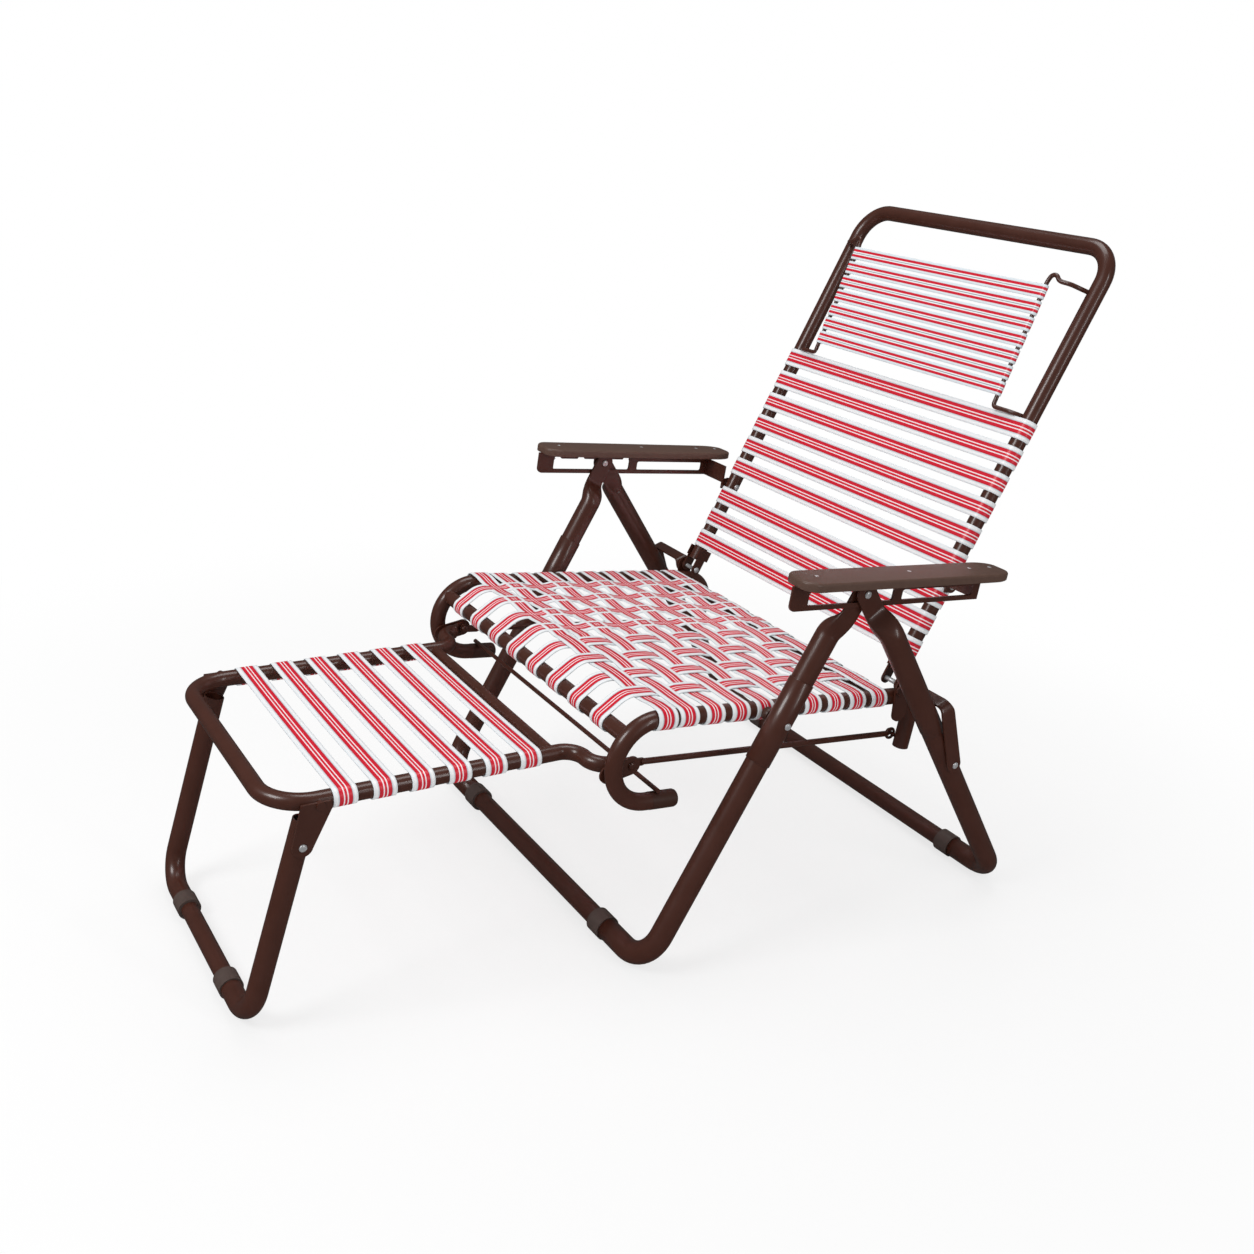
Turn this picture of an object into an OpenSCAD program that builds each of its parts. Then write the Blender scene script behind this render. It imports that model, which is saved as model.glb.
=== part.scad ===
/* [Tubes] */
// outside diameter of the front and rear leg tubes
leg_d = 30; // [26:0.5:34]
// outside diameter of the floor bars that plug into the legs
bar_d = 26; // [22:0.5:28]
// outside diameter of the seat and back tubes
seat_d = 22; // [18:0.5:25]
// outside diameter of the footrest frame tube
foot_d = 20; // [16:0.5:22]
// outside diameter of the footrest leg tube
prop_d = 25; // [20:0.5:28]
// wall thickness of every steel tube
wall = 1.5; // [1:0.1:2]
// thickness of flat plates and squashed tube ends
plate = 3; // [2:0.5:5]

/* [Widths] */
// half distance between the seat rail centres
seat_x = 243; // [220:1:280]
// half distance between the back tube centres
back_x = 236; // [210:1:238]
// half distance between the front leg centres
front_x = 281; // [276:1:310]
// half distance between the rear leg centres
rear_x = 322; // [318:1:350]
// half distance between the footrest rails
foot_x = 168; // [140:1:185]

/* [Side view] */
// front floor bar, distance behind the origin
front_y = 2; // [-40:1:40]
// rear floor bar, distance behind the origin
rear_y = 590; // [540:1:640]
// top pin under the armrest, distance back
top_y = 254; // [230:1:280]
// top pin under the armrest, height
top_z = 492; // [470:1:520]
// back pivot, distance back
piv_y = 400; // [380:1:420]
// back pivot, height
piv_z = 323; // [315:1:332]
// length of the back tubes above the pivot
back_len = 631; // [560:1:700]
// recline of the back from upright
back_lean = 25.8; // [15:0.1:40]
// seat rail height at the front bend
rail_z = 348; // [340:0.5:356]
// slope of the seat rails down to the rear
rail_slope = 5.76; // [4:0.02:7]
// bend radius of the seat rail's front curl
curl_r = 55; // [48:1:60]
// reach of the footrest in front of the origin
foot_reach = 431; // [380:1:480]
// length of the seat rails between the front curl and the rear bend
seat_len = 388; // [370:1:400]
// height of the footrest rails
foot_z = 285; // [275:1:295]
// footrest pivot, distance back
fpiv_y = -13.5; // [-20:0.5:-5]
// footrest pivot, height
fpiv_z = 279; // [272:0.5:286]

/* [Webbing] */
// width of one strap
strap_w = 28; // [20:0.5:32]
// thickness of one strap
strap_t = 1.2; // [0.8:0.1:2]
// spacing of the seat straps along the rail
seat_pitch = 39.4; // [36:0.1:42]
// spacing of the back straps along the tube
back_pitch = 38.4; // [36:0.1:40]
// spacing of the footrest straps
foot_pitch = 46; // [42:0.5:50]
// width of one headrest strap
head_w = 19; // [15:0.5:20]
// spacing of the headrest straps
head_pitch = 22.5; // [22:0.1:24]

/* [Armrests] */
// length of an armrest pad
pad_len = 350; // [320:1:380]
// width of an armrest pad
pad_w = 52; // [44:1:60]
// thickness of an armrest pad
pad_t = 12; // [9:0.5:16]
// height of the pad's underside above the top pin
pad_rise = 13.5; // [13:0.1:18]
// height of the slotted notch bracket
rack_h = 31; // [28:0.5:36]
// spacing of the armrest notches
notch_pitch = 41.7; // [36:0.1:44]
// height of the slot the pin runs in
slot_h = 16.4; // [16.2:0.1:17.5]

/* [Bolts] */
// diameter of the pivot bolts
bolt_d = 8; // [6:0.5:10]
// diameter of the rivets and small bolts
rivet_d = 6; // [4:0.5:8]
// diameter of the side tie rods
rod_d = 8; // [6:0.5:9]
// diameter of the cross wire and the headrest wires
wire_d = 6; // [4:0.5:8]

/* [Hidden] */
$fn = 48;
// clearances: bolt in its hole, stacked flats, strap on its tube
run = 0.08;
gap = 0.4;
snug = 0.1;
leg_bend = 45;
glide_t = 2;
glide_w = 25;
foot_cut = 0.6;
leg_z = leg_d / 2 + glide_t - foot_cut;
rs = seat_d / 2;
rl = leg_d / 2;
rb = bar_d / 2;
rf = foot_d / 2;
rp = prop_d / 2;
rw = wire_d / 2;
T = [0, top_y, top_z];
F0 = [0, front_y, leg_z];
R0 = [0, rear_y, leg_z];
B = [0, piv_y, piv_z];
P = [0, fpiv_y, fpiv_z];
function unit(v) = v / norm(v);
function off(p, u, a, n, b) = p + u * a + n * b;
front_len = norm(T - F0);
rear_len = norm(T - R0);
fdir = unit(F0 - T);
rdir = unit(R0 - T);
// the rail line, the centre of the front curl and the seat pivot of the legs
rail_dir = [0, cos(rail_slope), -sin(rail_slope)];
rail_nrm = [0, sin(rail_slope), cos(rail_slope)];
rail_o = [0, 8, rail_z - 5.25];
C = rail_o - rail_nrm * curl_r + rail_dir * 5.5;
a_s = cross(T - C - rail_nrm * curl_r, fdir)[0] / cross(rail_dir, fdir)[0];
A = off(C, rail_dir, a_s, rail_nrm, curl_r);
a_l = norm(A - F0);
back_dir = [0, sin(back_lean), cos(back_lean)];
back_nrm = [0, -cos(back_lean), sin(back_lean)];
back_top = B + back_dir * back_len;
g_s = 148;
G = B + back_dir * g_s;
arm_dir = unit([0, 204, -16]);
arm_nrm = [0, 16, 204] / norm([16, 204]);
q_s = 310;
Q = T + rdir * q_s;
// the two cross rails, in the rail's own side view from the curl centre
cross_a = 141.3;
cf = [curl_r * cos(cross_a), curl_r * sin(cross_a)];
cr = [371.5, curl_r - 2.6];
rear_b = 40;
drop_y = -24;
cap_x = 6;
cap_l = 39;
wire_p = [14.5, -curl_r + rs + 0.3 + rw];
// stacks across the chair
flat_t = 4;
arm_x = 301;
rack_in = arm_x - plate / 2;
rack_out = arm_x + plate / 2;
front_flat = rack_in - gap - flat_t;
rear_flat = rack_out + gap;
link_in = rear_x + rl + 0.5;
link_t = 4;
ear_in = seat_x + rs;
sleeve_r = rl + 1.25;
lug_in = seat_x - rs - plate;
tongue_in = lug_in - gap - plate;
eye_in = tongue_in - gap - plate;
eye_r = 7.5;
foot_tongue = eye_r + 1;
rod_x = eye_in + plate / 2;
hook = [0, 430, 232];
hook_r = 2.5;
foot_front = [0, -foot_reach, foot_z];
foot_len = norm(P - foot_front);
foot_dir = unit(P - foot_front);
s_bend = 24;
foot_end_x = tongue_in + plate - rf;
s_gap = foot_end_x - foot_x - 2 * s_bend;
s_end = foot_len - foot_tongue - 9.5;
s_start = s_end - 2 * s_bend;
cross_s = s_start - 8.5;
prop_foot = [0, -foot_reach - 28, prop_d / 2 + glide_t - foot_cut];
J = [0, -foot_reach + 30, foot_z - 48];
prop_dir = unit(J - prop_foot);
prop_len = norm(J - prop_foot);
prop_x = foot_x - 2;
// the origin lies on the floor under the middle of the whole chair
mid_y = round((back_top[1] + rs + prop_foot[1] - rp - glide_t) / 2);
hinge_in = foot_x + rf + 1;
head_lo = 404;
head_hi = 576;
head_x = 213;

// own frame at a side-view point: x across the chair, y along t, z square to both
module place(o, t) translate(o) rotate([atan2(t[2], t[1]), 0, 0]) children();
// the rail's side view: x along the rail, y up from it, z outwards across the chair
module rail_view(x = 0) translate([x, C[1], C[2]]) rotate([-rail_slope, 0, 0])
  rotate([90, 0, 90]) children();
module side(s) { if (s > 0) children(); else mirror([1, 0, 0]) children(); }

// tube pieces that share one frame: rings, right-angle bends and straight runs
module ring(r, i) difference() {
  circle(r);
  if (i > 0) circle(i);
}
module elbow(x, y, b, q, r, i) translate([x, y, 0]) rotate([0, 0, q * 90])
  rotate_extrude(angle = 90) translate([b, 0]) ring(r, i);
module run_x(x0, x1, y, r, i) translate([x0, y, 0]) rotate([90, 0, 90])
  linear_extrude(x1 - x0) ring(r, i);
module run_y(y0, y1, x, r, i) translate([x, y1, 0]) rotate([90, 0, 0])
  linear_extrude(y1 - y0) ring(r, i);
// round bar, disc or hole across the chair at a side-view point
module pin(c, x0, x1, r) translate([x0, c[1], c[2]]) rotate([0, 90, 0])
  cylinder(h = x1 - x0, r = r);
// the same in a frame whose y runs along a tube
module pin_y(y, x0, x1, r) translate([x0, y, 0]) rotate([0, 90, 0]) cylinder(h = x1 - x0, r = r);
// domed head that sits against x and points to larger x, or to smaller with d = -1
module dome(c, x, h, r, d = 1) translate([x, c[1], c[2]]) rotate([0, d * 90, 0]) {
  cylinder(h = h * 0.45, r = r);
  translate([0, 0, h * 0.45]) cylinder(h = h * 0.55, r1 = r, r2 = r * 0.6);
}
// flat tongue with a round end at y = l, in a frame whose y runs along the tube
module tongue(x0, t, y0, l, r) translate([x0, 0, 0]) rotate([90, 0, 90]) linear_extrude(t) {
  translate([l, 0]) circle(r);
  translate([y0, -r]) square([l - y0, 2 * r]);
}
// the tube's end pressed from round to flat
module pressed(xc, r, y0, x0, t, y1, w) hull() {
  translate([xc, y0, 0]) rotate([-90, 0, 0]) cylinder(h = 0.01, r = r, $fn = 32);
  translate([x0, y1 - 0.01, -w]) cube([t, 0.01, 2 * w]);
}

// seat rail: front curl, straight run, turned-down rear end
module seat_rail(s) color("#3a2018") side(s) rail_view(seat_x) difference() {
  union() {
    run_x(0, cap_x, -curl_r, rs, rs - wall);
    elbow(0, 0, curl_r, 2, rs, rs - wall);
    elbow(0, 0, curl_r, 1, rs, rs - wall);
    run_x(0, seat_len, curl_r, rs, rs - wall);
    elbow(seat_len, curl_r - rear_b, rear_b, 0, rs, rs - wall);
    run_y(drop_y, curl_r - rear_b, seat_len + rear_b, rs, rs - wall);
  }
  translate([a_s, curl_r, -rs - 1]) cylinder(h = 2 * rs + 2, r = bolt_d / 2 + run);
}
module seat_rail_left() seat_rail(1);
module seat_rail_right() seat_rail(-1);
// cross rails, their ends cut to the rails they meet
module cross_rail(c, r) rail_view() translate([c[0], c[1], -seat_x])
  linear_extrude(2 * seat_x) ring(r, r - wall);
module front_cross_rail() color("#3a2018") difference() {
  cross_rail(cf, rs - 1);
  for (s = [-1, 1]) side(s) rail_view(seat_x) elbow(0, 0, curl_r, 1, rs, 0);
}
module rear_cross_rail() color("#3a2018") difference() {
  cross_rail(cr, rs - 1);
  for (s = [-1, 1]) side(s) rail_view(seat_x) run_x(cr[0] - 30, cr[0] + 16, curl_r, rs, 0);
}
// cap that closes the curl's end
module curl_cap(s) color("#35211a") side(s) rail_view(seat_x) {
  run_x(0.5, cap_x + 0.5, -curl_r, rs - wall - gap, 0);
  run_x(cap_x, cap_x + cap_l - 4, -curl_r, rs + 0.3, 0);
  translate([cap_x + cap_l - 4, -curl_r, 0]) rotate([0, 90, 0]) {
    cylinder(h = 2.4, r1 = rs + 0.3, r2 = rs - 0.6);
    translate([0, 0, 2.4]) cylinder(h = 1.6, r1 = rs - 0.6, r2 = rs - 3);
  }
}
module curl_cap_left() curl_cap(1);
module curl_cap_right() curl_cap(-1);
module cross_wire() color("#2e1a14") rail_view() translate([wire_p[0], wire_p[1], -seat_x - 5])
  cylinder(h = 2 * seat_x + 10, r = rw);

// side tie rod: flattened eye on the footrest rivet, round rod, rear eye on its hook
rod_v = hook - P;
rod_len = norm(rod_v) - 2;
module tie_rod(s) color("#2e1a14") side(s) place(P, rod_v) difference() {
  union() {
    tongue(eye_in, plate, 0, 0.01, eye_r);
    tongue(eye_in, plate, 0, 20, 5);
    run_y(18, rod_len - 6, rod_x, rod_d / 2, 0);
    translate([rod_x, rod_len, 0]) rotate([0, 90, 0]) rotate_extrude() translate([7, 0]) circle(2);
  }
  pin_y(0, eye_in - 1, eye_in + plate + 1, rivet_d / 2 + run);
}
module tie_rod_left() tie_rod(1);
module tie_rod_right() tie_rod(-1);
module rod_hook(s) color("#2e1a14") side(s) {
  pin(hook, rod_x - 4, seat_x - rs, hook_r);
  pin(hook, rod_x - 6, rod_x - 4, hook_r + 3);
}
module rod_hook_left() rod_hook(1);
module rod_hook_right() rod_hook(-1);
// plate with two round ends between side-view points, less a hole at the first
module strip(a, b, r, x0, t, h) difference() {
  place(a, b - a) union() {
    tongue(x0, t, 0, norm(b - a), r);
    pin_y(0, x0, x0 + t, r);
  }
  if (h > 0) pin(a, x0 - 1, x0 + t + 1, h);
}
lug_end = off(C, rail_dir, curl_r * cos(200), rail_nrm, curl_r * sin(200));
module footrest_lug(s) color("#3a2018") side(s)
  strip(P, lug_end, 12, lug_in, plate, rivet_d / 2 + run);
module footrest_lug_left() footrest_lug(1);
module footrest_lug_right() footrest_lug(-1);
// ear on the rail's outer side that carries the back pivot
ear_r = 12;
module back_ear(s) color("#3a2018") side(s)
  strip(B, [0, piv_y + 2, piv_z - 40], ear_r, ear_in, plate, bolt_d / 2 + run);
module back_ear_left() back_ear(1);
module back_ear_right() back_ear(-1);

// a strap wrapped round a tube at each end, drawn as a closed side view
module band(w, r, ret, t) {
  translate([-w, r]) square([2 * w, t]);
  for (s = [0, 1]) mirror([s, 0]) {
    translate([w, 0]) intersection() {
      ring(r + t, r);
      translate([0, -r - t - 1]) square([r + t + 1, 2 * (r + t + 1)]);
    }
    translate([w - ret, -r - t]) square([ret, t]);
  }
}
module strap(y, w, h, r, ret, t) translate([0, y + h / 2, 0]) rotate([90, 0, 0])
  linear_extrude(h) band(w, r, ret, t);
// as many straps across as end 5 mm before the ear
cross_n = floor(((B - C) * rail_dir - ear_r - 5 - strap_w / 2 + 4) / seat_pitch);
module seat_straps_cross() color("#e6e2e4") difference() {
  place(off(C, rail_dir, 0, rail_nrm, curl_r), rail_dir) {
    strap(3, seat_x, strap_w, rs + 1.2, 34, strap_t);
    for (k = [1 : cross_n]) strap(-4 + k * seat_pitch, seat_x, strap_w, rs + snug, 34, strap_t);
  }
  for (s = [-1, 1]) side(s) pin(A, seat_x + 4, seat_x + rs + 6, 9.4);
}
long_top = curl_r + rs - 0.2 - strap_t;
long_r = rs - 1 + snug;
rise = 40;
lp = [cf[0] - long_r * sin(rise), cf[1] + long_r * cos(rise)];
lq = [lp[0] + (long_top - lp[1]) / tan(rise), long_top];
lt = strap_t;
// arc points from angle a to b about c, in steps of ten degrees
function arc(c, r, a, b) = let (n = ceil(abs(b - a) / 10))
  [for (i = [0 : n]) c + r * [cos(a + (b - a) * i / n), sin(a + (b - a) * i / n)]];
function long_line(r, turn, top) = concat([cf + [30, -r]], arc(cf, r, 270, 90 + rise), [turn],
  [[cr[0] - 34, top]], arc(cr, r, 90, -90), [cr + [-30, -r]]);
module long_side() {
  low = long_line(long_r, lq, long_top);
  high = long_line(long_r + lt, [lq[0] - lt * tan(rise / 2), lq[1] + lt], long_top + lt);
  polygon(concat(low, [for (i = [len(high) - 1 : -1 : 0]) high[i]]));
}
module seat_straps_long() color("#e6e2e4") for (k = [-3.5 : 3.5])
  rail_view(k * 54 - strap_w / 2) linear_extrude(strap_w) long_side();

// front leg: pressed top end, joint sleeve at the seat pivot, bent foot
module front_leg(s) color("#3a2018") place(F0, T - F0) side(s) difference() {
  union() {
    run_x(front_x - 100, front_x - leg_bend, 0, rl, rl - wall);
    elbow(front_x - leg_bend, leg_bend, leg_bend, 3, rl, rl - wall);
    run_y(leg_bend, front_len - 58, front_x, rl, rl - wall);
    run_y(a_l - 57, a_l + 57, front_x, sleeve_r, rl - 0.5);
    pressed(front_x, rl, front_len - 58, front_flat, flat_t, front_len - 26, 12.5);
    tongue(front_flat, flat_t, front_len - 26, front_len - 3.5, 12.5);
  }
  pin_y(front_len, front_flat - 1, front_flat + flat_t + 1, bolt_d / 2 + run);
  pin_y(a_l, front_x - 20, front_x + 20, bolt_d / 2);
}
module front_leg_left() front_leg(1);
module front_leg_right() front_leg(-1);
module rear_leg(s) color("#3a2018") place(R0, T - R0) side(s) difference() {
  union() {
    run_x(rear_x - 92, rear_x - leg_bend, 0, rl, rl - wall);
    elbow(rear_x - leg_bend, leg_bend, leg_bend, 3, rl, rl - wall);
    run_y(leg_bend, rear_len - 58, rear_x, rl, rl - wall);
    pressed(rear_x, rl, rear_len - 58, rear_flat, flat_t, rear_len - 26, 12.5);
    tongue(rear_flat, flat_t, rear_len - 26, rear_len - 3.5, 12.5);
  }
  pin_y(rear_len, rear_flat - 1, rear_flat + flat_t + 1, bolt_d / 2 + run);
  pin_y(rear_len - q_s, rear_x + rl - 4, rear_x + rl + 2, bolt_d / 2 + run);
}
module rear_leg_left() rear_leg(1);
module rear_leg_right() rear_leg(-1);
// floor bars plugged into the bent feet of the legs
module floor_bar(o, x, r, i) color("#3a2018") translate(o) run_x(-x, x, 0, r, i);
module front_floor_bar() floor_bar(F0, front_x - 70, rb, rb - wall);
module rear_floor_bar() floor_bar(R0, rear_x - 62, rb, rb - wall);
// collar under each joint that the chair stands on
module glide(o, x, r, ri) color("#4a3c36") for (s = [-1, 1]) side(s) difference() {
  translate(o) {
    run_x(x - glide_w / 2, x, 0, r + glide_t, ri + snug / 2);
    run_x(x, x + glide_w / 2, 0, r + glide_t, r + snug / 2);
  }
  translate([x - glide_w, o[1] - 2 * r, -10]) cube([2 * glide_w, 4 * r, 10]);
}
module front_glides() glide(F0, front_x - 100, rl, rb);
module rear_glides() glide(R0, rear_x - 92, rl, rb);
// pin through the leg tops and the notch bracket
module top_pin(s) color("#b9b9bb") side(s) {
  pin(T, front_flat - gap, rear_flat + flat_t + gap, bolt_d / 2);
  dome(T, front_flat - gap, 5, 8, -1);
  dome(T, rear_flat + flat_t + gap, 5.5, 8);
}
module top_pin_left() top_pin(1);
module top_pin_right() top_pin(-1);
// bolt and spacer between seat rail and front leg
module leg_bolt(s) color("#b9b9bb") side(s) {
  pin(A, seat_x - rs - gap, front_x + sleeve_r, bolt_d / 2);
  pin(A, seat_x + rs + gap, front_x - sleeve_r, 9);
  dome(A, seat_x - rs - gap, 5, 8, -1);
  dome(A, front_x + sleeve_r, 4.5, 8);
}
module leg_bolt_left() leg_bolt(1);
module leg_bolt_right() leg_bolt(-1);

// link from the rear leg to the back pivot, turned inboard behind the leg
link_w = 20;
tab_in = ear_in + plate + gap;
module link(s) color("#3a2018") side(s) place(Q, B - Q) {
  l = norm(B - Q);
  difference() {
    union() {
      pin_y(0, link_in, link_in + link_t, link_w / 2);
      tongue(link_in, link_t, 0, l + 3, link_w / 2);
    }
    pin_y(0, link_in - 1, link_in + link_t + 1, bolt_d / 2);
  }
  translate([tab_in + plate, l + 8, -7]) cube([link_in - tab_in - plate, plate, 14]);
  difference() {
    pin_y(l, tab_in, tab_in + plate, 13.5);
    pin_y(l, tab_in - 1, tab_in + plate + 1, bolt_d / 2 + run);
  }
}
module link_left() link(1);
module link_right() link(-1);
module link_bolt(s) color("#b9b9bb") side(s) {
  pin(Q, link_in - 0.2, link_in + link_t, bolt_d / 2);
  dome(Q, link_in + link_t, 5, 7.5);
}
module link_bolt_left() link_bolt(1);
module link_bolt_right() link_bolt(-1);

// back: one bent tube, its ends held in channels on the pivot bolts
tube_lo = 15;
module back_frame() color("#3a2018") place(back_top, -back_dir) difference() {
  for (s = [0, 1]) mirror([s, 0, 0]) {
    run_y(leg_bend, back_len - tube_lo, back_x, rs, rs - wall);
    elbow(back_x - leg_bend, leg_bend, leg_bend, 3, rs, rs - wall);
    run_x(0, back_x - leg_bend, 0, rs, rs - wall);
  }
  for (s = [-1, 1]) pin_y(back_len - g_s, s * back_x - 15, s * back_x + 15, bolt_d / 2);
}
saddle_t = 2.5;
module saddle(s) color("#3a2018") side(s) place(B, back_dir) difference() {
  union() {
    for (x = [back_x - rs - saddle_t, back_x + rs]) {
      tongue(x, saddle_t, 0, 0.01, 8);
      translate([x, 0, -8]) cube([saddle_t, 22, 16]);
      translate([x, 18, -11]) cube([saddle_t, 17, 22]);
    }
    translate([back_x - rs - saddle_t, 18, -rs - saddle_t])
      cube([2 * (rs + saddle_t), 17, saddle_t]);
  }
  pin_y(0, back_x - 20, back_x + 20, bolt_d / 2 + run);
}
module saddle_left() saddle(1);
module saddle_right() saddle(-1);
module back_bolt(s) color("#b9b9bb") side(s) {
  pin(B, back_x - rs - saddle_t - gap, tab_in + plate + gap, bolt_d / 2);
  pin(B, back_x + rs + saddle_t + gap, ear_in - gap, 7);
  dome(B, back_x - rs - saddle_t - gap, 4, 7, -1);
  dome(B, tab_in + plate + gap, 4.5, 7);
}
module back_bolt_left() back_bolt(1);
module back_bolt_right() back_bolt(-1);
strap_lo = 51.2;
module back_straps() color("#e6e2e4") place(B, back_dir) {
  for (k = [0 : 2]) strap(strap_lo + k * back_pitch, back_x, strap_w, rs + snug, 34, strap_t);
  for (k = [0 : 5]) strap(g_s + 32 + k * back_pitch, back_x, strap_w, rs + snug, 34, strap_t);
}

// headrest: a bowed wire on each side, straps between the wires
wire_len = head_hi - head_lo;
wire_b = 8;
module wire_view() place(B, back_dir) translate([0, head_lo, 8])
  rotate([atan2(18, wire_len), 0, 0]) children();
module headrest_wire(s) color("#2e1a14") side(s) difference() {
  wire_view() {
    run_x(head_x + wire_b, back_x - 6.5, 0, rw, 0);
    elbow(head_x + wire_b, wire_b, wire_b, 2, rw, 0);
    run_y(wire_b, wire_len - wire_b, head_x, rw, 0);
    elbow(head_x + wire_b, wire_len - wire_b, wire_b, 1, rw, 0);
    run_x(head_x + wire_b, back_x - 6, wire_len, rw, 0);
    translate([back_x - 6, wire_len, -6]) rotate([90, 0, 0]) elbow(0, 0, 6, 0, rw, 0);
    translate([back_x, wire_len, -15]) cylinder(h = 9, r = rw);
  }
  place(B, back_dir) run_y(head_lo - 20, head_hi + 20, back_x, rs + 0.3, 0);
}
module headrest_wire_left() headrest_wire(1);
module headrest_wire_right() headrest_wire(-1);
module headrest_straps() color("#e6e2e4") wire_view()
  for (k = [0 : 6]) strap(19 + k * head_pitch, head_x, head_w, rw + 0.2, 22, strap_t);

// armrest bracket: notched slot, plain slot, rear flange and the ear on the back tube
function arm_uw(p) = [(p - T) * arm_dir, (p - T) * arm_nrm];
g2 = arm_uw(G);
ear_x = back_x + rs + strap_t + 0.6;
rack_lo = pad_rise - rack_h;
slot_top = bolt_d / 2 + 1;
slot_lo = slot_top - slot_h;
rear_u = g2[0] - 9;
module slot(a, b, lo, h) {
  translate([a + 3, lo]) square([b - a - 6, h]);
  translate([a, lo + 3]) square([b - a, h - 6]);
  for (x = [a + 3, b - 3], y = [lo + 3, lo + h - 3]) translate([x, y]) circle(3);
}
module rack_side() difference() {
  union() {
    translate([-117 + 8, rack_lo]) square([rear_u + 117 - 8, rack_h]);
    translate([-117, rack_lo + 8]) square([8.01, rack_h - 8]);
    translate([-117 + 8, rack_lo + 8]) circle(8);
  }
  slot(-90, 49, slot_lo, slot_h);
  slot(64, rear_u - 12, slot_lo, slot_h - 3);
  for (k = [-2 : 1]) translate([k * notch_pitch, slot_top - 0.01])
    polygon([[-7, 0], [7, 0], [2, 6.5], [-2, 6.5]]);
}
module notch_rack(s) color("#3a2018") side(s) place(T, arm_dir) {
  translate([rack_in, 0, 0]) rotate([90, 0, 90]) linear_extrude(plate) rack_side();
  translate([ear_x, rear_u - plate, rack_lo]) cube([rack_out - ear_x, plate, rack_h - 4]);
  difference() {
    translate([ear_x, 0, 0]) rotate([90, 0, 90]) linear_extrude(plate) {
      translate(g2) circle(9);
      translate([rear_u - plate, g2[1] - 8]) square([g2[0] - rear_u + plate, 16]);
    }
    translate([ear_x - 1, g2[0], g2[1]]) rotate([0, 90, 0]) cylinder(h = plate + 2, r = bolt_d / 2);
  }
}
module notch_rack_left() notch_rack(1);
module notch_rack_right() notch_rack(-1);
// pivot stud through the back tube, and the capped bolt that holds the ear against it
stud_end = ear_x - gap;
module arm_stud(s) color("#b9b9bb") side(s) {
  pin(G, back_x - rs - 0.2, stud_end, bolt_d / 2);
  dome(G, back_x - rs - 0.2, 4, 7, -1);
}
module arm_stud_left() arm_stud(1);
module arm_stud_right() arm_stud(-1);
module arm_bolt(s) color("#b9b9bb") side(s) {
  pin(G, ear_x, ear_x + plate, bolt_d / 2);
  dome(G, ear_x + plate, 4.5, 7);
}
module arm_bolt_left() arm_bolt(1);
module arm_bolt_right() arm_bolt(-1);
pad_y0 = -114;
function pad_edge(d) = concat(
  [for (a = [0 : 10 : 90]) [pad_w / 2 - d - 16 + 16 * cos(a), pad_len - 34 + (34 - d) * sin(a)]],
  [for (a = [90 : 10 : 180]) [-pad_w / 2 + d + 16 + 16 * cos(a), pad_len - 34 + (34 - d) * sin(a)]],
  [for (a = [180 : 15 : 270]) [-pad_w / 2 + 12 + (12 - d) * cos(a), 12 + (12 - d) * sin(a)]],
  [for (a = [270 : 15 : 360]) [pad_w / 2 - 12 + (12 - d) * cos(a), 12 + (12 - d) * sin(a)]]);
module armrest_pad(s) color("#4a342b") side(s) place(T, arm_dir)
  translate([arm_x, pad_y0, pad_rise]) {
    linear_extrude(pad_t - 2) polygon(pad_edge(0));
    translate([0, 0, pad_t - 2]) linear_extrude(1.2) polygon(pad_edge(0.8));
    translate([0, 0, pad_t - 0.8]) linear_extrude(0.8) polygon(pad_edge(2.2));
  }
module armrest_pad_left() armrest_pad(1);
module armrest_pad_right() armrest_pad(-1);

// footrest: bent tube with its S-bent, pressed ends on the pivot rivets
foot_b = 50;
module footrest_frame() color("#3a2018") place(foot_front, foot_dir) difference() {
  for (s = [0, 1]) mirror([s, 0, 0]) {
    run_x(0, foot_x - foot_b, 0, rf, rf - wall);
    elbow(foot_x - foot_b, foot_b, foot_b, 3, rf, rf - wall);
    run_y(foot_b, s_start, foot_x, rf, rf - wall);
    elbow(foot_x + s_bend, s_start, s_bend, 1, rf, rf - wall);
    run_x(foot_x + s_bend, foot_x + s_bend + s_gap, s_start + s_bend, rf, rf - wall);
    elbow(foot_x + s_bend + s_gap, s_end, s_bend, 3, rf, rf - wall);
    pressed(foot_end_x, rf, s_end, tongue_in, plate, foot_len - foot_tongue, 9);
    tongue(tongue_in, plate, foot_len - foot_tongue, foot_len, 9);
  }
  for (s = [-1, 1]) pin_y(foot_len, s * (tongue_in + plate / 2) - 3, s * (tongue_in + plate / 2) + 3,
    rivet_d / 2);
}
module footrest_cross_bar() color("#3a2018") place(foot_front, foot_dir) difference() {
  run_x(-foot_x, foot_x, cross_s, 7.5, 6);
  for (s = [-1, 1]) run_y(cross_s - 8.4, cross_s + 8.4, s * foot_x, rf, 0);
}
module footrest_straps() color("#e6e2e4") place(foot_front, foot_dir)
  for (k = [0 : 5]) strap(foot_first + k * foot_pitch, foot_x, strap_w, rf + snug, 30, strap_t);
foot_first = 80;
module footrest_rivets() color("#4a2a20") for (s = [-1, 1]) side(s) {
  pin(P, eye_in - gap, lug_in + plate + gap, rivet_d / 2);
  dome(P, eye_in - gap, 3.5, 6, -1);
  dome(P, lug_in + plate + gap, 3, 6);
}
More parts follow.
